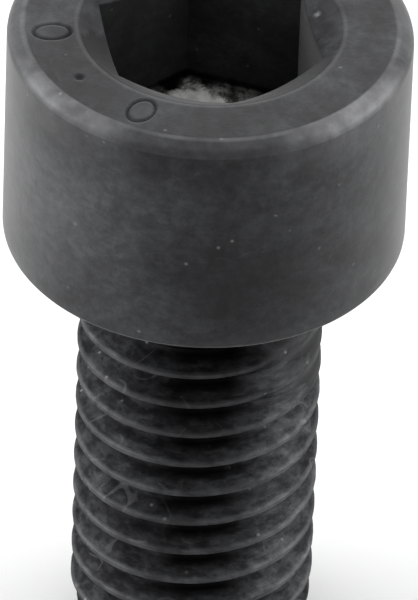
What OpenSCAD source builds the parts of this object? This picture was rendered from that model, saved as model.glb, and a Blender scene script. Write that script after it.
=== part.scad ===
// Hex socket cap screw, a single piece of steel: a cylindrical head with a hexagon
// socket, and a short shank whose rolled thread runs nearly up to the head.
// The origin is the centre of the bearing face under the head. +Z points to the top of
// the head, so the shank hangs below the origin and a corner of the hexagon is on +X.

/* [Head] */
// Diameter of the head
head_d = 16; // [14:0.1:24]
// Height of the head above its bearing face
head_h = 10; // [8:0.5:20]
// Width of the sloped edge round the top of the head
top_edge_w = 0.6; // [0.1:0.05:1.2]
// Height of that sloped edge
top_edge_h = 0.3; // [0.1:0.05:1.2]
// Rounding of the lower edge of the head
low_edge_r = 0.4; // [0.1:0.05:1.2]

/* [Hexagon socket] */
// Width across the flats of the hexagon
socket_af = 8.1; // [5:0.05:8.9]
// Depth of the flats below the top of the head
socket_depth = 5.9; // [3:0.1:7]
// Extra depth of the shallow cone in the floor of the socket
floor_cone_h = 0.5; // [0.1:0.1:1.5]
// Diameter of the countersink at the mouth of the socket
countersink_d = 10.4; // [9.4:0.1:13]
// Full angle of that countersink
countersink_angle = 120; // [90:5:150]

/* [Thread] */
// Diameter over the crests of the thread
thread_d = 9.85; // [8.5:0.05:11]
// Distance from one crest to the next
pitch = 1.5; // [1:0.25:2]
// Width of the flat on each crest
crest_flat = 0.19; // [0.1:0.01:0.3]
// Length of the shank below the bearing face
shank_l = 20; // [10:1:60]
// Direction round the axis where the crest leaves the end of the shank
thread_start = 349; // [0:1:360]

/* [Ends of the thread] */
// Diameter of the flat end face
end_d = 8; // [6:0.1:8.4]
// Length of the tapered end, where the crests are cut down
end_taper_l = 2.6; // [1:0.1:4]
// Diameter of the plain neck under the head, which is the blank before rolling
neck_d = 9; // [8.2:0.1:9.6]
// Length from the bearing face to where the thread begins to rise from the neck
neck_l = 1.4; // [1.1:0.1:3]
// Length over which the thread rises to its full height
run_out_l = 1.8; // [0.5:0.1:4]
// Radius of the fillet between the neck and the bearing face
fillet_r = 0.8; // [0.3:0.05:1]

/* [Hidden] */
// A small length by which cuts pass a face, and a margin that keeps facets from slivers
pass = 1;
margin = 0.1;
// Sides of the round shank, facets in the fillet, and smoothness of the head
columns = 48;
fillet_steps = 4;
smooth = 96;
// Radii of the thread, whose flanks lean 30 degrees and meet the root below the crest
crest_r = thread_d / 2;
flank_angle = 30;
thread_depth = 0.6134 * pitch;
flank_w = thread_depth * tan(flank_angle);
end_r = min(end_d / 2, crest_r);
neck_r = neck_d / 2;
// One pitch of the thread as [height above the crest's middle, depth below the crest]
groove = [
    [crest_flat / 2, 0],
    [crest_flat / 2 + flank_w, thread_depth],
    [pitch - crest_flat / 2 - flank_w, thread_depth],
    [pitch - crest_flat / 2, 0]
];
rows_per_turn = len(groove);
// The shank is sunk into solid steel above the bearing face
sunk_h = min(pass, (head_h - socket_depth - floor_cone_h) / 2);
// How far the fillet turns before it is hidden by the bearing face
fillet_turn = 72;

// Smooth rise from 0 to 1
function rise(x) = let (t = min(1, max(0, x))) t * t * (3 - 2 * t);

// Radius to which the tapered end cuts the crests down at a height z
function taper_r(z) =
    let (s = max(0, (end_taper_l - shank_l - z) / end_taper_l))
    crest_r - (crest_r - end_r) * s * s;

// Radius of the shank at a height z, where the full thread lies a depth below its crest
function shank_r(z, depth) =
    let (
        formed = rise((-neck_l - z) / run_out_l),
        full_r = crest_r - depth
    )
    min(neck_r + (full_r - neck_r) * formed, taper_r(z));

// Row m of the thread at column i: rows climb one pitch in each turn
function row_z(i, m) =
    let (
        turn = floor(m / rows_per_turn),
        start = i / columns - thread_start / 360
    )
    -shank_l + pitch * (turn + start) + groove[m - turn * rows_per_turn][0];

function row_point(i, m) =
    let (
        turn = floor(m / rows_per_turn),
        z = row_z(i, m),
        r = shank_r(z, groove[m - turn * rows_per_turn][1]),
        angle = 360 * i / columns
    )
    [r * cos(angle), r * sin(angle), z];

function ring(r, z) =
    [for (i = [0 : columns - 1]) [r * cos(360 * i / columns), r * sin(360 * i / columns), z]];

// Rows that lie between the end face and the neck, found for each column
row_low = -shank_l + margin * pitch;
row_high = -neck_l - margin * pitch;
row_max = rows_per_turn * ceil(shank_l / pitch + 2);
function rows_at(i) =
    [for (m = [-rows_per_turn : row_max]) if (row_z(i, m) > row_low && row_z(i, m) < row_high) m];

// Upper rings: the neck, the fillet, and the part sunk into the head
fillet_rings = [
    for (k = [0 : fillet_steps])
        let (a = fillet_turn * k / fillet_steps)
        ring(neck_r + fillet_r * (1 - cos(a)), -fillet_r * (1 - sin(a)))
];
sunk_ring = ring(neck_r + fillet_r * (1 - cos(fillet_turn)), sunk_h);
upper_rings = concat([ring(neck_r, -neck_l)], fillet_rings, [sunk_ring]);

// The shank's surface: an end ring, the thread's rows column by column, the upper rings
module threaded_shank() {
    rows = [for (i = [0 : columns]) rows_at(i)];
    counts = [for (i = [0 : columns - 1]) len(rows[i])];
    function first_point(i) = i == 0 ? columns : first_point(i - 1) + counts[i - 1];
    starts = [for (i = [0 : columns - 1]) first_point(i)];
    upper_start = starts[columns - 1] + counts[columns - 1];
    // Index of row m at column i, where the last column is the first one a turn higher
    function at(i, m) =
        i < columns
            ? starts[i] + m - rows[i][0]
            : starts[0] + m + rows_per_turn - rows[0][0];
    function upper(k, i) = upper_start + k * columns + i % columns;

    points = concat(
        ring(end_r, -shank_l),
        [for (i = [0 : columns - 1]) for (m = rows[i]) row_point(i, m)],
        [for (r = upper_rings) each r]
    );
    // Faces between two neighbouring columns: below, beside and above their common rows
    function column_faces(i) =
        let (
            low = rows[i][0],
            high = rows[i][len(rows[i]) - 1],
            next_low = rows[i + 1][0],
            next_high = rows[i + 1][len(rows[i + 1]) - 1],
            next_end = (i + 1) % columns
        )
        concat(
            [[at(i, low), next_end, i], [at(i, low), at(i + 1, next_low), next_end]],
            [for (m = [next_low : 1 : low - 1]) [at(i, low), at(i + 1, m + 1), at(i + 1, m)]],
            [for (m = [low : 1 : next_high - 1])
                each [
                    [at(i, m), at(i + 1, m + 1), at(i + 1, m)],
                    [at(i, m), at(i, m + 1), at(i + 1, m + 1)]
                ]],
            [for (m = [next_high : 1 : high - 1])
                [at(i + 1, next_high), at(i, m), at(i, m + 1)]],
            [[at(i + 1, next_high), at(i, high), upper(0, i)],
             [at(i + 1, next_high), upper(0, i), upper(0, i + 1)]]
        );
    upper_faces = [
        for (k = [0 : len(upper_rings) - 2])
            for (i = [0 : columns - 1])
                each [
                    [upper(k, i), upper(k + 1, i + 1), upper(k, i + 1)],
                    [upper(k, i), upper(k + 1, i), upper(k + 1, i + 1)]
                ]
    ];
    end_face = [[for (i = [0 : columns - 1]) i]];
    sunk_face = [[for (i = [columns - 1 : -1 : 0]) upper(len(upper_rings) - 1, i)]];
    faces = concat(
        end_face,
        [for (i = [0 : columns - 1]) each column_faces(i)],
        upper_faces,
        sunk_face
    );
    polyhedron(points = points, faces = faces);
}

// The solid head: a turned blank with a sloped upper edge and a rounded lower edge
module head_blank() {
    head_r = head_d / 2;
    edge_steps = 5;
    rotate_extrude($fn = smooth)
        polygon(concat(
            [[0, 0]],
            [for (k = [0 : edge_steps])
                let (a = 90 * k / edge_steps)
                [head_r - low_edge_r * (1 - sin(a)), low_edge_r * (1 - cos(a))]],
            [[head_r, head_h - top_edge_h], [head_r - top_edge_w, head_h], [0, head_h]]
        ));
}

// The cut for the socket: a hexagon, its countersunk mouth and its shallow conical floor
module hexagon_socket() {
    corner_d = socket_af / cos(30);
    floor_z = head_h - socket_depth;
    translate([0, 0, floor_z])
        cylinder(h = socket_depth + pass, d = corner_d, $fn = 6);
    // The cone is as wide as the flats, so the corners keep a small level ledge
    translate([0, 0, floor_z - floor_cone_h])
        cylinder(h = floor_cone_h, d1 = 0, d2 = socket_af, $fn = smooth);
    slope = 1 / tan(countersink_angle / 2);
    countersink_h = countersink_d / 2 * slope;
    translate([0, 0, head_h - countersink_h])
        cylinder(
            h = countersink_h + pass,
            d1 = 0,
            d2 = countersink_d + 2 * pass / slope,
            $fn = smooth
        );
}

module cap_screw() {
    color("#3a3a3c")
        union() {
            difference() {
                head_blank();
                hexagon_socket();
            }
            threaded_shank();
        }
}

cap_screw();
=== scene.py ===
"""Looks for a black hex socket cap screw that stands on its thread end.

The screw is one closed mesh in the frame of the CAD part: origin at the centre of the
bearing face under the head, +Z towards the top of the head, lengths in metres.
"""

import math

import bmesh
import bpy
from mathutils import Matrix, Vector


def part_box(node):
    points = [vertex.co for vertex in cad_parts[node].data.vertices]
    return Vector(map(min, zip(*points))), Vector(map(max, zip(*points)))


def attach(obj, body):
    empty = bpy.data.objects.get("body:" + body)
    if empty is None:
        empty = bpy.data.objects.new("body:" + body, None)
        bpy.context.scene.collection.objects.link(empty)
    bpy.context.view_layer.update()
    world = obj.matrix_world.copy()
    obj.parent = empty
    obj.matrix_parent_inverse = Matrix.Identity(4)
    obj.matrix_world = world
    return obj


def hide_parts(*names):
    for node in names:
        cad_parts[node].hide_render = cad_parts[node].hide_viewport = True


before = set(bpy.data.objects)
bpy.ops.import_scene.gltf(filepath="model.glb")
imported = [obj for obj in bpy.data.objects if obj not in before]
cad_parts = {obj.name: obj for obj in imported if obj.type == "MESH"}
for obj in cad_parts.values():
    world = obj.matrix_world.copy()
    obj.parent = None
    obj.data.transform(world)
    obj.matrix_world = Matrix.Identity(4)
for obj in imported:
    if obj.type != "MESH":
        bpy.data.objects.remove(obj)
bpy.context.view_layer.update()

MM = 0.001

# Sizes of the real screw, in millimetres
CAD_LOW, CAD_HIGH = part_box("cap_screw")
HEAD_R = -CAD_LOW.x / MM
HEAD_H = CAD_HIGH.z / MM
SHANK_L = -CAD_LOW.z / MM
TOP_EDGE_W, TOP_EDGE_H = 0.6, 0.3
LOW_EDGE_R = 0.4
SOCKET_FLAT_R = 4.05
SOCKET_DEPTH = 5.9
FLOOR_CONE_H = 0.5
COUNTERSINK_R = 5.2
COUNTERSINK_FALL_DEG = 30
PITCH = 1.5
CREST_R = 4.925
CREST_FLAT = 0.19
THREAD_DEPTH = 0.6134 * PITCH
FLANK_ANGLE_DEG = 30
FLANK_W = THREAD_DEPTH * math.tan(math.radians(FLANK_ANGLE_DEG))
THREAD_START_DEG = 349
END_R = 4.0
END_TAPER_L = 2.6
NECK_R = 4.5
NECK_L = 1.4
RUN_OUT_L = 1.8
FILLET_R = 0.8

# Kinds of node that are used most
MATH = "ShaderNodeMath"
VECTOR_MATH = "ShaderNodeVectorMath"
MAP_RANGE = "ShaderNodeMapRange"
MIX = "ShaderNodeMix"
NOISE = "ShaderNodeTexNoise"

# Point attributes that the finish reads: where the coat is paler, from wear and from painted
# highlight, and where it is darker, from dark oil and from painted shade
WEAR_AND_HIGHLIGHT, OIL_AND_SHADE = "wear_and_highlight", "oil_and_shade"


def linear(hex_colour):
    """sRGB hex to a linear RGBA colour."""
    channels = [int(hex_colour[i : i + 2], 16) / 255 for i in (1, 3, 5)]
    return [c / 12.92 if c <= 0.04045 else ((c + 0.055) / 1.055) ** 2.4 for c in channels] + [1]


def add(tree, kind, *values, **settings):
    """Adds a node: settings are its properties, values its inputs in order, each a plain
    value, a node (its first output), a socket, or None to leave the input as it is."""
    node = tree.nodes.new(kind)
    for name, setting in settings.items():
        setattr(node, name, setting)
    sockets = [s for s in node.inputs if s.enabled]
    for socket, value in zip(sockets, values):
        if isinstance(value, bpy.types.Node):
            tree.links.new(socket, next(out for out in value.outputs if out.enabled))
        elif isinstance(value, bpy.types.NodeSocket):
            tree.links.new(socket, value)
        elif value is not None:
            socket.default_value = value
    return node


def per_mm(size_mm):
    """Scale of a texture whose features are about as large as the given size."""
    return 1 / (size_mm * MM)


# The thread

THREAD_COLUMNS = 168
THREAD_ROWS_PER_PITCH = 20
# Rows lie closer together at the crests by this share
CREST_CROWDING = 0.5
# Roundings where the flanks meet the crests and the roots, as shares of the depth
CREST_ROUND, ROOT_ROUND = 0.04, 0.3
# Most height that the crests have lost to wear, and the size of the dips in them
CREST_WEAR_H, CREST_DIP_MM = 0.06, 0.7
WELD_DISTANCE = 0.002 * MM
# The rubbed patch: its centre, how much shorter it is along the axis, how far its core
# and its edge reach from the centre, the share of the thread's height kept there, and wear
RUB_CENTRE_MM = (4.85, 0.3, -4.4)
RUB_STRETCH = 1.5
RUB_CORE_MM, RUB_REACH_MM = 2.6, 4.8
RUB_KEPT, RUB_WEAR = 0.12, 0.4
# Painted shade on the shank's front: a point on it, and how far its core and edge reach
SHADED_FRONT_MM = (1.95, -4.52, 0)
SHADED_CORE_MM, SHADED_REACH_MM = 0.8, 3.8
# Wear and painted highlight of the crests, painted shade left in the roots, and least oil and
# painted shade anywhere: each in the middle of the shaded front and on the lit sides
CREST_WEAR_AND_SHINE_FRONT, CREST_WEAR_AND_SHINE_SIDES = 0.55, 0.75
ROOT_SHADE_SIDES = 0.2
THIN_OIL_SHADE_FRONT, THIN_OIL_SHADE_SIDES = 0.6, 0.15
# Heights on the thread, as shares of its own: where a crest begins to shine, and where the
# painted shade in the roots begins and ends to thin out to its share on the crests
SHINE_FROM = 0.84
ROOT_BELOW, CREST_ABOVE, CREST_ROOT_SHADE = 0.2, 0.85, 0.2

# Lengths that the thread's node tree takes
THREAD_INPUTS_MM = {
    "Pitch": PITCH,
    "Crest radius": CREST_R,
    "Crest flat": CREST_FLAT,
    "Thread depth": THREAD_DEPTH,
    "Flank width": FLANK_W,
    "Shank length": SHANK_L,
    "Neck length": NECK_L,
    "Neck radius": NECK_R,
    "Run-out length": RUN_OUT_L,
    "End radius": END_R,
    "Taper length": END_TAPER_L,
    "Crest wear": CREST_WEAR_H,
}


def wound_place(tree, given):
    """Where a point of the flat grid goes: its strip, counted in pitches and crowded at the
    crests, its turn round the axis from 0 to 1, and its height. Each strip climbs one pitch
    in a turn."""
    place = add(tree, "ShaderNodeSeparateXYZ", add(tree, "GeometryNodeInputPosition"))
    half_turns = add(tree, MATH, given["Turns"], 0.5, operation="MULTIPLY")
    even_strip = add(tree, MATH, place.outputs["X"], half_turns, operation="ADD")
    phase = add(tree, MATH, even_strip, math.tau, operation="MULTIPLY")
    sway = add(tree, MATH, phase, operation="SINE")
    crowding = -CREST_CROWDING / math.tau
    strip = add(tree, MATH, sway, crowding, even_strip, operation="MULTIPLY_ADD")
    turn = add(tree, MATH, place.outputs["Y"], 0.5, operation="ADD")

    # The first strip begins below the end of the shank, which cuts it off
    climb = add(tree, MATH, strip, turn, operation="ADD")
    started = add(tree, MATH, climb, given["Start turn"], operation="SUBTRACT")
    raised = add(tree, MATH, started, given["Pitch"], operation="MULTIPLY")
    height = add(tree, MATH, raised, given["Shank length"], operation="SUBTRACT")
    return strip, turn, height


def groove_share(tree, given, strip):
    """Share of the thread's depth at a strip, from 0 on the crest to 1 in the root, by the
    distance to the nearest crest and with rounded corners."""
    off_crest = add(tree, MATH, strip, 0.5, operation="PINGPONG")
    off_crest_l = add(tree, MATH, off_crest, given["Pitch"], operation="MULTIPLY")
    half_flat = add(tree, MATH, given["Crest flat"], 0.5, operation="MULTIPLY")
    past_flat = add(tree, MATH, off_crest_l, half_flat, operation="SUBTRACT")
    down_flank = add(tree, MATH, past_flat, given["Flank width"], operation="DIVIDE")
    below_crest = add(tree, MATH, down_flank, 0.0, CREST_ROUND, operation="SMOOTH_MAX")
    return add(tree, MATH, below_crest, 1.0, ROOT_ROUND, operation="SMOOTH_MIN")


def rubbed_share(tree, on_shank):
    """1 in the core of the rubbed patch near the head, and 0 outside it."""
    stretched = add(
        tree, VECTOR_MATH, on_shank, (1.0, 1.0, RUB_STRETCH), operation="MULTIPLY"
    )
    centre = Vector(RUB_CENTRE_MM) * MM
    centre.z *= RUB_STRETCH
    away = add(tree, VECTOR_MATH, stretched, centre, operation="DISTANCE").outputs["Value"]
    return add(
        tree, MAP_RANGE, away, RUB_CORE_MM * MM, RUB_REACH_MM * MM, 1.0, 0.0,
        interpolation_type="SMOOTHSTEP",
    )


def lit_sides_share(tree, on_shank):
    """0 on the front of the shank, which is darkened with painted shade, and 1 away from it."""
    level = add(tree, VECTOR_MATH, on_shank, (1.0, 1.0, 0.0), operation="MULTIPLY")
    run = Vector(SHADED_FRONT_MM) * MM
    away = add(tree, VECTOR_MATH, level, run, operation="DISTANCE").outputs["Value"]
    return add(
        tree, MAP_RANGE, away, SHADED_CORE_MM * MM, SHADED_REACH_MM * MM, 0.0, 1.0,
        interpolation_type="SMOOTHSTEP",
    )


def crest_radius(tree, given, height):
    """Radius to which the tapered end cuts the crests down at a height."""
    top = add(tree, MATH, given["Taper length"], given["Shank length"], operation="SUBTRACT")
    below = add(tree, MATH, top, height, operation="SUBTRACT")
    down = add(tree, MATH, below, given["Taper length"], operation="DIVIDE", use_clamp=True)
    squared = add(tree, MATH, down, 2.0, operation="POWER")
    end_drop = add(tree, MATH, given["Crest radius"], given["End radius"], operation="SUBTRACT")
    cut = add(tree, MATH, squared, end_drop, operation="MULTIPLY")
    return add(tree, MATH, given["Crest radius"], cut, operation="SUBTRACT")


def rolled_thread_tree():
    """Geometry nodes: a flat grid is wound into a helix, one strip of rows for each turn,
    and each row is pushed out to the radius that the thread has at its place."""
    tree = bpy.data.node_groups.new("rolled_thread", "GeometryNodeTree")
    interface = tree.interface
    for name in (*THREAD_INPUTS_MM, "Start turn", "Turns"):
        interface.new_socket(name, in_out="INPUT", socket_type="NodeSocketFloat")
    for name in ("Columns", "Rows"):
        interface.new_socket(name, in_out="INPUT", socket_type="NodeSocketInt")
    interface.new_socket("Finish", in_out="INPUT", socket_type="NodeSocketMaterial")
    interface.new_socket("Geometry", in_out="OUTPUT", socket_type="NodeSocketGeometry")
    given = add(tree, "NodeGroupInput").outputs

    grid = add(tree, "GeometryNodeMeshGrid", given["Turns"], 1.0, given["Rows"], given["Columns"])
    strip, turn, height = wound_place(tree, given)
    sunk = groove_share(tree, given, strip)
    crest = add(tree, MATH, 1.0, sunk, operation="SUBTRACT", use_clamp=True)

    # Run-out: the thread fades into the plain neck
    neck_end = add(tree, MATH, given["Neck length"], -1.0, operation="MULTIPLY")
    full_from = add(tree, MATH, neck_end, given["Run-out length"], operation="SUBTRACT")
    formed = add(
        tree, MAP_RANGE, height, neck_end, full_from, 0.0, 1.0, interpolation_type="SMOOTHSTEP"
    )

    # Place on the crests' cylinder, where the rubbed patch and the shaded front are measured
    angle = add(tree, MATH, turn, math.tau, operation="MULTIPLY")
    cosine = add(tree, MATH, angle, operation="COSINE")
    sine = add(tree, MATH, angle, operation="SINE")
    radial = add(tree, "ShaderNodeCombineXYZ", cosine, sine, 0.0)
    lift = add(tree, "ShaderNodeCombineXYZ", 0.0, 0.0, height)
    on_crest = add(tree, VECTOR_MATH, radial, given["Crest radius"], operation="SCALE")
    on_shank = add(tree, VECTOR_MATH, on_crest, lift, operation="ADD")
    rubbed = rubbed_share(tree, on_shank)
    lit_sides = lit_sides_share(tree, on_shank)

    # Radius: crest less depth and wear, blended to the neck, and cut down by the taper.
    # In the rubbed patch the crests and roots are smeared together
    dips = add(tree, NOISE, on_shank, per_mm(CREST_DIP_MM), 4.0, 0.7)
    lost = add(tree, MATH, dips, given["Crest wear"], operation="MULTIPLY")
    crest_loss = add(tree, MATH, lost, crest, operation="MULTIPLY")
    kept = add(tree, MAP_RANGE, rubbed, 0.0, 1.0, 1.0, RUB_KEPT)
    depth = add(tree, MATH, given["Thread depth"], kept, operation="MULTIPLY")
    drop = add(tree, MATH, sunk, depth, crest_loss, operation="MULTIPLY_ADD")
    full_r = add(tree, MATH, given["Crest radius"], drop, operation="SUBTRACT")
    over_neck = add(tree, MATH, full_r, given["Neck radius"], operation="SUBTRACT")
    thread_r = add(tree, MATH, over_neck, formed, given["Neck radius"], operation="MULTIPLY_ADD")
    taper_r = crest_radius(tree, given, height)
    radius = add(tree, MATH, thread_r, taper_r, operation="MINIMUM")
    outward = add(tree, VECTOR_MATH, radial, radius, operation="SCALE")
    wound = add(tree, VECTOR_MATH, outward, lift, operation="ADD")

    # Wear and painted highlight: bright crests, brighter on the lit sides, and a duller shine in
    # the rubbed patch
    crest_share = add(tree, MATH, crest, formed, operation="MULTIPLY")
    brightest = add(tree, MAP_RANGE, lit_sides, 0.0, 1.0, CREST_WEAR_AND_SHINE_FRONT, CREST_WEAR_AND_SHINE_SIDES)
    bright_crest = add(tree, MAP_RANGE, crest_share, SHINE_FROM, 1.0, 0.0, brightest)
    not_rubbed = add(tree, MATH, 1.0, rubbed, operation="SUBTRACT")
    crest_wear_and_highlight = add(tree, MATH, bright_crest, not_rubbed, operation="MULTIPLY")
    rub_wear = add(tree, MATH, rubbed, RUB_WEAR, operation="MULTIPLY")
    wear_and_highlight_share = add(tree, MATH, crest_wear_and_highlight, rub_wear, operation="MAXIMUM")
    marked = add(
        tree, "GeometryNodeStoreNamedAttribute", grid, None, WEAR_AND_HIGHLIGHT, wear_and_highlight_share,
        data_type="FLOAT", domain="POINT",
    )

    # Oil and painted shade: deep in the roots of the shaded front, and thin on the rest
    in_root = add(
        tree, MAP_RANGE, crest_share, ROOT_BELOW, CREST_ABOVE, 1.0, CREST_ROOT_SHADE,
        interpolation_type="SMOOTHSTEP",
    )
    root_shade_kept = add(tree, MAP_RANGE, lit_sides, 0.0, 1.0, not_rubbed, ROOT_SHADE_SIDES)
    shaded_roots = add(tree, MATH, in_root, root_shade_kept, operation="MULTIPLY")
    thin_oil_and_shade = add(tree, MAP_RANGE, lit_sides, 0.0, 1.0, THIN_OIL_SHADE_FRONT, THIN_OIL_SHADE_SIDES)
    oil_and_shade_share = add(tree, MATH, shaded_roots, thin_oil_and_shade, operation="MAXIMUM")
    oil_and_shade = add(
        tree, "GeometryNodeStoreNamedAttribute", marked, None, OIL_AND_SHADE, oil_and_shade_share,
        data_type="FLOAT", domain="POINT",
    )

    moved = add(tree, "GeometryNodeSetPosition", oil_and_shade, None, wound)
    welded = add(tree, "GeometryNodeMergeByDistance", moved, None, WELD_DISTANCE)
    real = add(tree, "GeometryNodeRealizeInstances", welded)
    finished = add(tree, "GeometryNodeSetMaterial", real, None, given["Finish"])
    add(tree, "NodeGroupOutput", finished)
    return tree


def wound_thread(finish):
    """The thread as a plain mesh, from below the end face to above the neck's foot."""
    tree = rolled_thread_tree()
    turns = math.ceil(SHANK_L / PITCH) + 2
    values = {name: length * MM for name, length in THREAD_INPUTS_MM.items()}
    values["Start turn"] = THREAD_START_DEG / 360 + 1
    values["Turns"] = float(turns)
    values["Columns"] = THREAD_COLUMNS + 1
    values["Rows"] = turns * THREAD_ROWS_PER_PITCH + 1
    values["Finish"] = finish
    holder = bpy.data.objects.new("thread_holder", bpy.data.meshes.new("thread_holder"))
    bpy.context.scene.collection.objects.link(holder)
    modifier = holder.modifiers.new("rolled_thread", "NODES")
    modifier.node_group = tree
    for item in tree.interface.items_tree:
        if item.in_out == "INPUT":
            modifier[item.identifier] = values[item.name]
    depsgraph = bpy.context.evaluated_depsgraph_get()
    mesh = bpy.data.meshes.new_from_object(holder.evaluated_get(depsgraph))
    bpy.data.objects.remove(holder)
    return mesh


# The head

# Roundings of its corners: radius and number of steps
LOW_EDGE_ROUND = (LOW_EDGE_R, 6)
EDGE_FOOT_ROUND = (0.45, 6)
EDGE_TOP_ROUND = (0.6, 3)
COUNTERSINK_ROUND = (0.5, 3)
WALL_TOP_ROUND = (0.12, 4)
WALL_FOOT_ROUND = (0.15, 3)
# Where the rows begin under the head, and where they end on the socket's floor
FIRST_ROW_INSET = 1
LAST_ROW_R = 0.3
TOP_ROWS = 36
TOP_ROW_MARGIN = 0.2
COLUMN_DEG, STAMP_COLUMN_DEG = 1.0, 0.5
FILLET_STEPS = 6

# The stamped mark: two plain ovals and a dot between them
STAMP_SPAN_DEG = (195, 273)
STAMP_R = 6.25
OVAL_LONG_R, OVAL_WIDE_R = 0.72, 0.5
OVAL_ANGLES_DEG = (205.9, 264.3)
DOT_ANGLE_DEG = 234.9
STROKE_W = 0.2
DOT_R = 0.24
STAMP_DEPTH = 0.05

# Shares of oil and painted shade: in the stamp, in the socket, under the head and its low edge
STAMP_OIL_SHADE, SOCKET_OIL_SHADE, BEARING_OIL_SHADE, LOW_EDGE_OIL_SHADE = 0.2, 0.13, 0.8, 0.08

# Paler streaks on the sloped upper edge, partly wear and partly painted highlight where the edge
# catches the light: middle, half width and share, and the share all round
RIM_STREAKS_DEG = ((240, 30, 0.82), (338, 30, 1.08), (30, 14, 0.5), (110, 30, 0.6))
RIM_WEAR_AND_HIGHLIGHT = 0.18
# Painted highlight where that edge meets the top, and wear and painted highlight at the mouth
INNER_LINE_HIGHLIGHT, MOUTH_WEAR_AND_HIGHLIGHT = 0.5, 0.15
# Distance from an edge to the nearest rows, which keeps its paler band narrow
PALE_BAND_MARGIN = 0.35
# Length over which the paler upper edge fades down the side, and its share there
PALE_FADE_L = 1.6
SIDE_WEAR_AND_HIGHLIGHT = 0.4
# How far from an edge, the top, the socket's floor or a level a row still counts as on it
ON_EDGE, ON_TOP, ON_FLOOR, ON_LEVEL = 0.05, 0.1, 0.3, 0.01
FLAT_TOP_TOLERANCE = 1e-6
# Sizes of the paler bands: below the upper edge, along its inner line, and at the mouth
EDGE_BAND_H, INNER_LINE_W, MOUTH_W = 0.2, 0.08, 0.15


def softened(points, rounds):
    """A profile of (r, z) points with each corner turned into an arc: rounds holds, for
    each point, the arc's radius and its number of steps, or None to keep the corner."""
    path = []
    for i, (point, rounding) in enumerate(zip(points, rounds)):
        corner = Vector(point)
        if rounding is None:
            path.append(corner)
            continue
        radius, steps = rounding
        before = (Vector(points[i - 1]) - corner).normalized()
        after = (Vector(points[i + 1]) - corner).normalized()
        half_angle = before.angle(after) / 2
        middle = corner + (before + after).normalized() * radius / math.sin(half_angle)
        reach = radius / math.tan(half_angle)
        first = corner + before * reach - middle
        turn = first.angle_signed(corner + after * reach - middle)
        for k in range(steps + 1):
            path.append(middle + Matrix.Rotation(-turn * k / steps, 2) @ first)
    return path


def hexagon_r(angle):
    """Distance from the axis to the socket's wall, with a corner on +X."""
    from_flat = (math.degrees(angle) % 60) - 30
    return SOCKET_FLAT_R / math.cos(math.radians(from_flat))


def head_columns():
    """Angles of the head's columns: every degree, and closer across the stamped mark."""
    first, last = STAMP_SPAN_DEG
    angles = []
    degree = 0.0
    while degree < 360:
        angles.append(math.radians(degree))
        degree += STAMP_COLUMN_DEG if first <= degree < last else COLUMN_DEG
    return angles


def stamp_depth(angle, radius):
    """Depth of the stamped mark at a place on the top face."""
    depth = 0
    for oval_deg in OVAL_ANGLES_DEG:
        across = radius * math.sin(angle - math.radians(oval_deg)) / OVAL_WIDE_R
        along = (radius * math.cos(angle - math.radians(oval_deg)) - STAMP_R) / OVAL_LONG_R
        reach = math.hypot(across, along)
        off_stroke = abs(reach - 1) * (OVAL_LONG_R + OVAL_WIDE_R) / 2
        depth = max(depth, 1 - (off_stroke / (STROKE_W / 2)) ** 2)
    dot = Vector((STAMP_R, 0))
    dot.rotate(Matrix.Rotation(math.radians(DOT_ANGLE_DEG), 2))
    off_dot = (Vector((radius * math.cos(angle), radius * math.sin(angle))) - dot).length
    depth = max(depth, 1 - (off_dot / DOT_R) ** 2)
    return STAMP_DEPTH * max(0, depth)


def head_profile(angle):
    """Half section of the head at an angle, from the bearing face round to the floor of
    the socket, as points (radius, height) in millimetres."""
    wall_r = hexagon_r(angle)
    countersink_slope = math.tan(math.radians(COUNTERSINK_FALL_DEG))
    wall_top = HEAD_H - (COUNTERSINK_R - wall_r) * countersink_slope
    floor_z = HEAD_H - SOCKET_DEPTH
    edge_foot = HEAD_H - TOP_EDGE_H
    inner_top_r = COUNTERSINK_R + TOP_ROW_MARGIN
    outer_top_r = HEAD_R - TOP_EDGE_W - TOP_ROW_MARGIN
    top_rows = [
        (outer_top_r + (inner_top_r - outer_top_r) * k / TOP_ROWS, HEAD_H)
        for k in range(TOP_ROWS + 1)
    ]
    corners = [
        ((HEAD_R - FIRST_ROW_INSET, 0), None),
        ((HEAD_R, 0), LOW_EDGE_ROUND),
        ((HEAD_R, LOW_EDGE_R + PALE_BAND_MARGIN), None),
        ((HEAD_R, edge_foot - PALE_BAND_MARGIN - PALE_FADE_L), None),
        ((HEAD_R, edge_foot - PALE_BAND_MARGIN), None),
        ((HEAD_R, edge_foot), EDGE_FOOT_ROUND),
        ((HEAD_R - TOP_EDGE_W, HEAD_H), EDGE_TOP_ROUND),
        *[(row, None) for row in top_rows],
        ((COUNTERSINK_R, HEAD_H), COUNTERSINK_ROUND),
        ((wall_r, wall_top), WALL_TOP_ROUND),
        ((wall_r, wall_top - PALE_BAND_MARGIN), None),
        ((wall_r, floor_z + PALE_BAND_MARGIN), None),
        ((wall_r, floor_z), WALL_FOOT_ROUND),
        ((LAST_ROW_R, floor_z - FLOOR_CONE_H), None),
    ]
    points, rounds = zip(*corners)
    return softened(points, rounds)


def head_oil_and_shade(angle, r, z):
    """Oiliness and painted shade on the head: in the stamp, in the socket and underneath."""
    if r > COUNTERSINK_R and z > HEAD_H - ON_TOP:
        return STAMP_OIL_SHADE * stamp_depth(angle, r) / STAMP_DEPTH
    if r < COUNTERSINK_R and z < HEAD_H - SOCKET_DEPTH + ON_FLOOR:
        return 1
    if r < COUNTERSINK_R + ON_EDGE:
        return SOCKET_OIL_SHADE
    if z < ON_LEVEL:
        return BEARING_OIL_SHADE
    return LOW_EDGE_OIL_SHADE if z < LOW_EDGE_R - ON_LEVEL else 0


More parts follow.
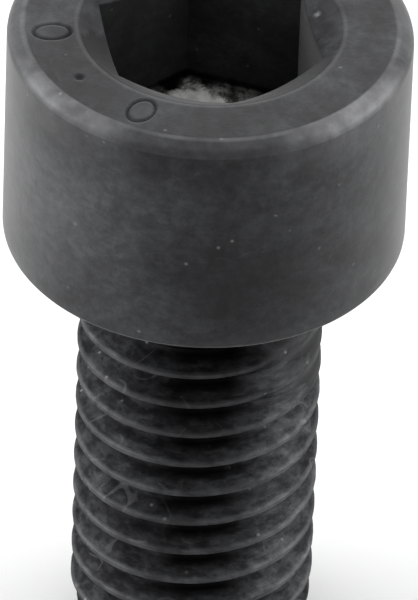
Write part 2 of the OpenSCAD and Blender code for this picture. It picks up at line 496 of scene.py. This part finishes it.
def edge_wear_and_highlight(angle, r, z):
    """Share of paler coat on the head at a place, partly wear and partly painted highlight: its
    sloped upper edge is paler in a few long streaks, which fade down the side, and the rims a
    little all round."""
    streak = 0
    for streak_deg, half_deg, share in RIM_STREAKS_DEG:
        off = abs((math.degrees(angle) - streak_deg + 180) % 360 - 180) / half_deg
        streak = max(streak, share * max(0, 1 - off * off))
    inner_line_r = HEAD_R - TOP_EDGE_W
    edge_foot = HEAD_H - TOP_EDGE_H
    wear = 0
    if z > edge_foot - EDGE_BAND_H and r > inner_line_r - ON_EDGE:
        wear = max(streak, RIM_WEAR_AND_HIGHLIGHT)
    elif z > edge_foot - PALE_BAND_MARGIN - ON_EDGE and r > HEAD_R - ON_EDGE:
        wear = SIDE_WEAR_AND_HIGHLIGHT * streak
    if abs(r - inner_line_r) < INNER_LINE_W and z > HEAD_H - ON_EDGE:
        wear = max(wear, INNER_LINE_HIGHLIGHT)
    if abs(r - COUNTERSINK_R) < MOUTH_W and z > HEAD_H - EDGE_BAND_H:
        wear = MOUTH_WEAR_AND_HIGHLIGHT
    return wear


# The screw's mesh

# Distances in metres within which a point lies on a level cut
CUT_WIDTH, RIM_TOLERANCE = 1e-9, 1e-7
# Edges sharper than this stay sharp in the shading
SHARP_EDGE_DEG = 40


def join_rings(body, lower, upper):
    """Joins two rings of as many points, which run round the axis the same way."""
    for i in range(len(lower)):
        k = (i + 1) % len(lower)
        body.faces.new((lower[i], lower[k], upper[k], upper[i]))


def ring_edges(ring):
    """Edges that join the neighbours in a closed ring of points."""
    edges = []
    for i, vert in enumerate(ring):
        other = ring[(i + 1) % len(ring)]
        edges += [e for e in vert.link_edges if e.other_vert(vert) is other]
    return edges


def cut_rim(body, height):
    """Points of the open rim that a level cut has left at a height, in order round it."""
    rim = [v for v in body.verts if v.is_boundary and abs(v.co.z - height * MM) < RIM_TOLERANCE]
    return sorted(rim, key=lambda v: math.atan2(v.co.y, v.co.x))


def add_shank(body, finish):
    """Adds the thread, cut level and closed at its end and open at the neck."""
    body.from_mesh(wound_thread(finish))
    for height, keep in ((-SHANK_L, 1), (-NECK_L, -1)):
        bmesh.ops.bisect_plane(
            body,
            geom=body.verts[:] + body.edges[:] + body.faces[:],
            dist=CUT_WIDTH,
            plane_co=(0, 0, height * MM),
            plane_no=(0, 0, keep),
            clear_inner=True,
        )
    body.faces.new(cut_rim(body, -SHANK_L))


def add_fillet(body):
    """Adds the fillet from the neck to the bearing face, and returns its upper ring."""
    lower = cut_rim(body, -NECK_L)
    angles = [math.atan2(v.co.y, v.co.x) for v in lower]
    for k in range(FILLET_STEPS + 1):
        turn = math.pi / 2 * k / FILLET_STEPS
        r = (NECK_R + FILLET_R * (1 - math.cos(turn))) * MM
        z = -FILLET_R * (1 - math.sin(turn)) * MM
        upper = [body.verts.new((r * math.cos(a), r * math.sin(a), z)) for a in angles]
        join_rings(body, lower, upper)
        lower = upper
    return lower


def add_head(body):
    """Adds the head, with its wear and painted highlight, its oiliness and painted shade, and
    returns its first ring.
    """
    wear_and_highlight, oil_and_shade = (body.verts.layers.float[name] for name in (WEAR_AND_HIGHLIGHT, OIL_AND_SHADE))
    columns = head_columns()
    profiles = [head_profile(angle) for angle in columns]
    rings = []
    for row in zip(*profiles):
        ring = []
        for angle, (r, z) in zip(columns, row):
            if z > HEAD_H - FLAT_TOP_TOLERANCE:
                z -= stamp_depth(angle, r)
            ring.append(
                body.verts.new((r * math.cos(angle) * MM, r * math.sin(angle) * MM, z * MM))
            )
        rings.append(ring)
    for lower, upper in zip(rings, rings[1:]):
        join_rings(body, lower, upper)
    body.faces.new(rings[-1])
    for ring in rings:
        for vert, angle in zip(ring, columns):
            r, z = math.hypot(vert.co.x, vert.co.y) / MM, vert.co.z / MM
            vert[wear_and_highlight] = edge_wear_and_highlight(angle, r, z)
            vert[oil_and_shade] = head_oil_and_shade(angle, r, z)
    return rings[0]


def screw_mesh(finish):
    """Head, neck, thread and end as one closed mesh."""
    body = bmesh.new()
    add_shank(body, finish)
    fillet_ring = add_fillet(body)
    head_ring = add_head(body)
    # The level bearing face joins the fillet to the head, whose columns are its own
    bmesh.ops.bridge_loops(body, edges=ring_edges(fillet_ring) + ring_edges(head_ring))
    bmesh.ops.recalc_face_normals(body, faces=body.faces[:])
    mesh = bpy.data.meshes.new("cap_screw_body")
    body.to_mesh(mesh)
    body.free()
    mesh.materials.clear()
    mesh.materials.append(finish)
    mesh.shade_smooth()
    mesh.set_sharp_from_angle(angle=math.radians(SHARP_EDGE_DEG))
    return mesh


# The finish

# Coat tones: painted shade, the dark and the pale of the clouds, and painted light
COAT_SHADED, COAT_DARK, COAT_PALE, COAT_LIT = "#1e1e20", "#2a2a2c", "#434446", "#5e5f61"
# Bare steel, also the tone of painted highlights, and the dark of oil and of painted shade
STEEL_BARE_AND_HIGHLIGHT = "#c6c6c8"
OIL_AND_SHADE_DARK = "#030304"
# Pale tone of the painted pool of light in the socket and of the dust on the thread
PALE_LIT_AND_DUST = "#eaeae6"
# Sizes of the patterns. The grain that the blank's forging and the bath leave is finer on
# the real screw, and is drawn as coarse as it needs to show
CLOUD_MM, MOTTLE_MM, BAND_MM, GRIME_MM = 2.2, 0.45, 1.3, 0.9
DOT_SPACING_MM, SPECKLE_MM, CHIP_MM, GRAIN_MM = 1.1, 0.3, 0.8, 0.12
HAIRLINE_BEND_MM, HAIRLINE_BREAK_MM = 4, 1.3
RAGGED_MM, LOBE_MM = 0.5, 1.6
GRAIN_H = 0.02 * MM
# How much bare steel the nicks, specks and hairlines show at most
MARK_SHARE = 0.6
# Share by which full oil and painted shade darken the coat, and the share of them from which
# steel looks oily
OIL_AND_SHADE_COVER, OILY_FROM = 0.97, 0.15
# Gloss of dry and of oily steel, the tint and the sheen of dry steel at grazing angles, and
# the film that oil adds
ROUGHNESS_DRY, ROUGHNESS_OILY = 0.52, 0.62
EDGE_TINT, SHEEN, SHEEN_ROUGHNESS = 0.75, 0.4, 0.45
OIL_FILM, OIL_FILM_ROUGHNESS = 0.03, 0.4
# How flat the bands and the grime lie: their patterns are squeezed along the axis
BAND_SQUEEZE, GRIME_SQUEEZE = (1, 1, 3), (1, 1, 4)
# Middle of the painted pool of light on the socket's floor, and its radius
LIT_PATCH_MM, LIT_PATCH_R = (-1.2, 2.0, 4.1), 1.6
# Most dust on the thread
DUST_SHARE = 0.22
# How far the full share of a pale spot and of a patch of painted light and shade reaches from
# its middle
PALE_SPOT_CORE_MM, TONE_CORE_MM = 0.1, 0.5
# Thin, speckled pale spots round about the lit patch: middle, reach and share
PALE_SPOTS_MM = (
    ((0.3, 3.2, 4.0), 1.1, 0.25),
    ((-0.8, 3.3, 4.0), 0.9, 0.4),
    ((-1.95, 3.5, 4.1), 0.6, 0.5),
    ((-2.9, 2.4, 4.0), 0.6, 0.3),
)
# Patches of painted light and shade: middle, reach, colour and share of that colour. They are
# a lighter side of the head, a band of painted shade under its upper edge, its darker front,
# two darker parts of its top, and two lighter parts of the shank
LIT_AND_SHADED_MM = (
    ((-4.4, -6.7, 5.5), 6.5, COAT_LIT, 0.5),
    ((2.3, -7.6, 9.2), 4.0, COAT_SHADED, 0.6),
    ((4.0, -6.9, 3.5), 6.0, COAT_SHADED, 0.8),
    ((-3.4, -5.4, 10.0), 5.0, COAT_SHADED, 0.7),
    ((4.5, -5.0, 10.0), 3.5, COAT_SHADED, 0.5),
    ((3.9, -3.0, -8.5), 5.5, COAT_LIT, 0.6),
    ((3.4, -3.5, -14.0), 5.5, COAT_LIT, 0.7),
)
# Nicks that bare the steel, the first two partly painted highlight: middle and reach
NICKS_AND_GLINTS_MM = (
    ((3.45, 2.8, 9.55), 0.23),
    ((-4.2, 0.2, 9.7), 0.25),
    ((4.22, -2.48, -4.58), 0.2),
    ((0.17, -4.9, -8.08), 0.2),
    ((5.04, -6.21, 6.52), 0.17),
)


def near_point(tree, place, point_mm, core_mm, reach_mm):
    """1 within core_mm of a point of the part and 0 beyond reach_mm."""
    centre = tuple(c * MM for c in point_mm)
    away = add(tree, VECTOR_MATH, place, centre, operation="DISTANCE").outputs["Value"]
    return add(
        tree, MAP_RANGE, away, core_mm * MM, reach_mm * MM, 1.0, 0.0,
        interpolation_type="SMOOTHSTEP",
    )


def mottled_coat(tree, place, on_thread):
    """Colour of the coat: clouds a few millimetres wide, patches of painted light and shade, fine
    mottling, faint bands round the axis, and grime on the thread."""
    cloud = add(tree, NOISE, place, per_mm(CLOUD_MM), 6.0, 0.7)
    cloudy = add(tree, MAP_RANGE, cloud, 0.3, 0.72, interpolation_type="SMOOTHSTEP")
    toned = add(tree, MIX, cloudy, linear(COAT_DARK), linear(COAT_PALE), data_type="RGBA")
    # Patches of painted light and shade laid over the clouds
    for point_mm, reach_mm, colour, share in LIT_AND_SHADED_MM:
        near = near_point(tree, place, point_mm, TONE_CORE_MM, reach_mm)
        toning = add(tree, MATH, near, share, operation="MULTIPLY")
        toned = add(tree, MIX, toning, toned, linear(colour), data_type="RGBA")

    mottle = add(tree, NOISE, place, per_mm(MOTTLE_MM), 5.0, 0.75)
    mottling = add(
        tree, MAP_RANGE, mottle, 0.3, 0.7, 0.77, 1.25, interpolation_type="SMOOTHSTEP"
    )
    flattened = add(tree, VECTOR_MATH, place, BAND_SQUEEZE, operation="MULTIPLY")
    band = add(tree, NOISE, flattened, per_mm(BAND_MM), 4.0, 0.7)
    banding = add(tree, MAP_RANGE, band, 0.4, 0.7, 0.86, 1.06, interpolation_type="SMOOTHSTEP")
    shade = add(tree, MATH, mottling, banding, operation="MULTIPLY")

    flatter = add(tree, VECTOR_MATH, place, GRIME_SQUEEZE, operation="MULTIPLY")
    streaks = add(tree, NOISE, flatter, per_mm(GRIME_MM), 4.0, 0.7)
    grime = add(
        tree, MAP_RANGE, streaks, 0.35, 0.65, 0.55, 1.42, interpolation_type="SMOOTHSTEP"
    )
    grimy = add(tree, MAP_RANGE, on_thread, 0.0, 1.0, 1.0, grime)
    dimmed = add(tree, MATH, shade, grimy, operation="MULTIPLY")
    return add(tree, VECTOR_MATH, toned, dimmed, operation="SCALE")


def bared_share(tree, place, on_thread, speckle):
    """Share of bare steel in small soft specks, a few nicks, two of them partly painted
    highlight, and faint hairlines that wander and break off."""
    dots = add(tree, "ShaderNodeTexVoronoi", place, per_mm(DOT_SPACING_MM)).outputs["Distance"]
    dotted = add(tree, MAP_RANGE, on_thread, 0.0, 1.0, 0.3, 0.7)
    marks = add(tree, MAP_RANGE, dots, 0.0, 0.1, dotted, 0.0, interpolation_type="SMOOTHSTEP")

    bared = add(
        tree, MAP_RANGE, speckle, 0.42, 0.6, 0.0, 0.4, interpolation_type="SMOOTHSTEP"
    )
    for nick_mm, reach_mm in NICKS_AND_GLINTS_MM:
        near = near_point(tree, place, nick_mm, 0.0, reach_mm)
        nick = add(tree, MATH, near, bared, operation="MULTIPLY")
        marks = add(tree, MATH, marks, nick, operation="MAXIMUM")

    wander = add(tree, NOISE, place, per_mm(HAIRLINE_BEND_MM), 2.0, 0.5)
    on_line = add(tree, MATH, wander, 0.5, 0.006, operation="COMPARE")
    breaks = add(tree, NOISE, place, per_mm(HAIRLINE_BREAK_MM), 2.0, 0.5)
    unbroken = add(tree, MAP_RANGE, breaks, 0.52, 0.62, interpolation_type="SMOOTHSTEP")
    strength = add(tree, MAP_RANGE, on_thread, 0.0, 1.0, 0.02, 0.12)
    faint = add(tree, MATH, unbroken, strength, operation="MULTIPLY")
    hairline = add(tree, MATH, on_line, faint, operation="MULTIPLY")
    marks = add(tree, MATH, marks, hairline, operation="MAXIMUM")
    return add(tree, MATH, marks, MARK_SHARE, operation="MULTIPLY")


def lit_patch_and_dust_share(tree, place, on_thread, speckle, ragged):
    """Share of pale tone: a painted pool of light with a ragged edge on the floor of the socket,
    thin speckled pale spots round about it, and a little dust on the thread."""
    patch = near_point(tree, place, LIT_PATCH_MM, LIT_PATCH_R * 0.5, LIT_PATCH_R * 1.3)
    lobes = add(tree, NOISE, place, per_mm(LOBE_MM), 2.0, 0.5)
    lobed = add(tree, MATH, lobes, 1.2, patch, operation="MULTIPLY_ADD")
    torn = add(tree, MATH, ragged, 1.0, lobed, operation="MULTIPLY_ADD")
    solid = add(tree, MAP_RANGE, torn, 1.4, 1.85, interpolation_type="SMOOTHSTEP")
    in_reach = add(tree, MAP_RANGE, patch, 0.0, 0.1, interpolation_type="SMOOTHSTEP")
    dusty = add(tree, MATH, on_thread, DUST_SHARE, operation="MULTIPLY")
    most = add(tree, MATH, in_reach, dusty, operation="MAXIMUM")
    lit_patch_and_dust = add(tree, MATH, solid, most, operation="MULTIPLY")

    speckled = add(
        tree, MAP_RANGE, speckle, 0.4, 0.6, 0.2, 1.0, interpolation_type="SMOOTHSTEP"
    )
    for spot_mm, reach_mm, share in PALE_SPOTS_MM:
        near = near_point(tree, place, spot_mm, PALE_SPOT_CORE_MM, reach_mm)
        pale_spot = add(tree, MATH, near, share, operation="MULTIPLY")
        thin = add(tree, MATH, pale_spot, speckled, operation="MULTIPLY")
        lit_patch_and_dust = add(tree, MATH, lit_patch_and_dust, thin, operation="MAXIMUM")
    return lit_patch_and_dust


def black_oxide():
    """Black oxide on forged alloy steel: a dark satin metal with oiliness, cloudy where the bath
    took unevenly, with fine grain, small marks, paler edges and crests that are partly wear and
    partly painted highlight, and darker places that are partly oiliness and partly painted shade."""
    finish = bpy.data.materials.new("black_oxide_steel")
    finish.use_nodes = True
    tree = finish.node_tree
    tree.nodes.clear()
    place = add(tree, "ShaderNodeTexCoord").outputs["Object"]
    wear_and_highlight = add(tree, "ShaderNodeAttribute", attribute_name=WEAR_AND_HIGHLIGHT).outputs["Fac"]
    oil_and_shade = add(tree, "ShaderNodeAttribute", attribute_name=OIL_AND_SHADE).outputs["Fac"]
    height = add(tree, "ShaderNodeSeparateXYZ", place).outputs["Z"]
    on_thread = add(
        tree, MAP_RANGE, height, 0.0, -NECK_L * MM, interpolation_type="SMOOTHSTEP"
    )
    speckle = add(tree, NOISE, place, per_mm(SPECKLE_MM), 3.0, 0.6)
    ragged = add(tree, NOISE, place, per_mm(RAGGED_MM), 5.0, 0.7)

    # Coat with its marks, then wear and painted highlight, broken up, then oil and painted shade
    coat = mottled_coat(tree, place, on_thread)
    bared = bared_share(tree, place, on_thread, speckle)
    marked = add(tree, MIX, bared, coat, linear(STEEL_BARE_AND_HIGHLIGHT), data_type="RGBA")
    chips = add(tree, NOISE, place, per_mm(CHIP_MM), 3.0, 0.5)
    chipped = add(
        tree, MAP_RANGE, chips, 0.3, 0.75, 0.12, 0.23, interpolation_type="SMOOTHSTEP"
    )
    wear = add(tree, MATH, wear_and_highlight, chipped, operation="MULTIPLY")
    worn_and_lit_coat = add(tree, MIX, wear, marked, linear(STEEL_BARE_AND_HIGHLIGHT), data_type="RGBA")
    oil_and_shade_darkening = add(tree, MATH, oil_and_shade, OIL_AND_SHADE_COVER, operation="MULTIPLY")
    oil_shaded_coat = add(tree, MIX, oil_and_shade_darkening, worn_and_lit_coat, linear(OIL_AND_SHADE_DARK), data_type="RGBA")

    # A painted pool of light on the socket's floor, and dust on the thread, lie over all of it
    # and are no metal
    lit_patch_and_dust = lit_patch_and_dust_share(tree, place, on_thread, speckle, ragged)
    paleness = add(
        tree, MAP_RANGE, ragged, 0.3, 0.7, 0.75, 1.05, interpolation_type="SMOOTHSTEP"
    )
    pale_lit_and_dust_colour = add(tree, VECTOR_MATH, linear(PALE_LIT_AND_DUST)[:3], paleness, operation="SCALE")
    colour = add(tree, MIX, lit_patch_and_dust, oil_shaded_coat, pale_lit_and_dust_colour, data_type="RGBA")
    metallic = add(tree, MATH, 1.0, lit_patch_and_dust, operation="SUBTRACT")

    # Dry steel is satin with a soft pale sheen at grazing angles, and oil takes both away
    grain = add(tree, NOISE, place, per_mm(GRAIN_MM), 3.0, 0.6)
    varied = {
        "Metallic": metallic,
        "Roughness": add(
            tree, MAP_RANGE, oil_and_shade, 0.0, OILY_FROM, ROUGHNESS_DRY, ROUGHNESS_OILY
        ),
        "Specular Tint": add(tree, MAP_RANGE, oil_and_shade, 0.0, OILY_FROM, EDGE_TINT, 0.0),
        "Sheen Weight": add(tree, MAP_RANGE, oil_and_shade, 0.0, 2 * OILY_FROM, SHEEN, 0.0),
        "Coat Weight": add(tree, MATH, oil_and_shade, OIL_FILM, operation="MULTIPLY"),
        "Normal": add(tree, "ShaderNodeBump", 0.25, GRAIN_H, None, grain),
    }
    shader = add(tree, "ShaderNodeBsdfPrincipled", colour)
    for name, node in varied.items():
        tree.links.new(shader.inputs[name], node.outputs[0])
    shader.inputs["Sheen Roughness"].default_value = SHEEN_ROUGHNESS
    shader.inputs["Coat Roughness"].default_value = OIL_FILM_ROUGHNESS
    add(tree, "ShaderNodeOutputMaterial", shader)
    return finish


# Stage, lights and camera

# Strength of the room as a light, where 1 is white
ROOM_LIGHT = 0.38
FLOOR_SIZE_MM = 160
FLOOR_WHITE = "#fafafa"

# The photograph's view: the camera's place, what it is aimed at, and its lens
VIEW_AZIMUTH_DEG = 18.6
VIEW_ELEVATION_DEG = 36.7
VIEW_DISTANCE_MM = 443
AIM_RIGHT_MM, AIM_Z_MM = 0.322, -3.674
ROLL_DEG = 2.13
LENS_MM, SENSOR_MM = 678.3, 36


def floor_paper():
    """Matt white paper sweep: pale, with no gloss of its own."""
    paper = bpy.data.materials.new("matt_white_paper")
    paper.use_nodes = True
    shader = paper.node_tree.nodes["Principled BSDF"]
    shader.inputs["Base Color"].default_value = linear(FLOOR_WHITE)
    shader.inputs["Roughness"].default_value = 0.9
    return paper


def make_floor():
    """A sheet of paper under the end of the screw."""
    half = FLOOR_SIZE_MM / 2 * MM
    mesh = bpy.data.meshes.new("floor")
    corners = [(-half, -half), (half, -half), (half, half), (-half, half)]
    mesh.from_pydata([(x, y, -SHANK_L * MM) for x, y in corners], [], [(0, 1, 2, 3)])
    mesh.materials.append(floor_paper())
    floor = bpy.data.objects.new("floor", mesh)
    bpy.context.scene.collection.objects.link(floor)


def away_from_screw(azimuth_deg, elevation_deg):
    """Direction away from the screw, with azimuth 0 towards -Y and elevation above level."""
    a, e = math.radians(azimuth_deg), math.radians(elevation_deg)
    return Vector((math.sin(a) * math.cos(e), -math.cos(a) * math.cos(e), math.sin(e)))


def make_camera():
    """The photograph's camera, placed from the top of the head."""
    back = away_from_screw(VIEW_AZIMUTH_DEG, VIEW_ELEVATION_DEG)
    right = away_from_screw(VIEW_AZIMUTH_DEG + 90, 0)
    head_top = Vector((0, 0, HEAD_H * MM))
    aim = right * AIM_RIGHT_MM * MM + Vector((0, 0, AIM_Z_MM * MM))
    data = bpy.data.cameras.new("camera")
    data.lens, data.sensor_width = LENS_MM, SENSOR_MM
    data.clip_start, data.clip_end = 0.01, 10
    camera = bpy.data.objects.new("camera", data)
    camera.location = head_top + back * VIEW_DISTANCE_MM * MM
    level = (aim - camera.location).to_track_quat("-Z", "Y")
    roll = Matrix.Rotation(math.radians(ROLL_DEG), 3, "Z").to_quaternion()
    camera.rotation_mode = "QUATERNION"
    camera.rotation_quaternion = level @ roll
    bpy.context.scene.collection.objects.link(camera)
    bpy.context.scene.camera = camera


def softbox(name, azimuth_deg, elevation_deg, width, height, distance, brightness):
    """A softbox aimed at the screw. Its azimuth is counted from the camera's, its size and
    distance are in metres, and its brightness is that of its face, where 1 is white."""
    away = away_from_screw(VIEW_AZIMUTH_DEG + azimuth_deg, elevation_deg)
    data = bpy.data.lights.new(name, "AREA")
    data.shape, data.size, data.size_y = "RECTANGLE", width, height
    data.energy = brightness * math.pi * width * height
    lamp = bpy.data.objects.new(name, data)
    lamp.location = away * distance
    lamp.rotation_mode = "QUATERNION"
    lamp.rotation_quaternion = (-away).to_track_quat("-Z", "Y")
    bpy.context.scene.collection.objects.link(lamp)


def make_lights():
    """Two near softboxes beside the screw, which also light the floor, and four far ones."""
    softbox("left_softbox", -108, 22, 0.2, 0.1, 0.13, 2.9)
    softbox("right_softbox", 108, 22, 0.2, 0.1, 0.13, 2.15)
    softbox("high_left_softbox", -100, 62, 0.17, 0.17, 0.3, 1.4)
    softbox("high_right_softbox", 100, 62, 0.17, 0.17, 0.3, 1.0)
    softbox("back_softbox", 170, 40, 0.2, 0.2, 0.3, 1.1)
    softbox("top_softbox", 0, 82, 0.14, 0.14, 0.3, 1.2)


def make_world():
    """A plain room: dim as a light, and white where the camera or a reflection sees it."""
    world = bpy.data.worlds.new("soft_room")
    bpy.context.scene.world = world
    world.use_nodes = True
    tree = world.node_tree
    background = tree.nodes["Background"]
    background.inputs["Color"].default_value = (1, 1, 1, 1)
    rays = add(tree, "ShaderNodeLightPath").outputs
    seen = rays["Is Camera Ray"]
    for kind in ("Is Glossy Ray", "Is Transmission Ray"):
        seen = add(tree, MATH, seen, rays[kind], operation="MAXIMUM")
    strength = add(tree, MAP_RANGE, seen, 0.0, 1.0, ROOM_LIGHT, 1.0)
    tree.links.new(background.inputs["Strength"], strength.outputs[0])


finish = black_oxide()
screw = bpy.data.objects.new("cap_screw_finished", screw_mesh(finish))
bpy.context.scene.collection.objects.link(screw)
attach(screw, "root")
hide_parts("cap_screw")

make_floor()
make_lights()
make_world()
make_camera()
bpy.context.scene.view_settings.view_transform = "Standard"
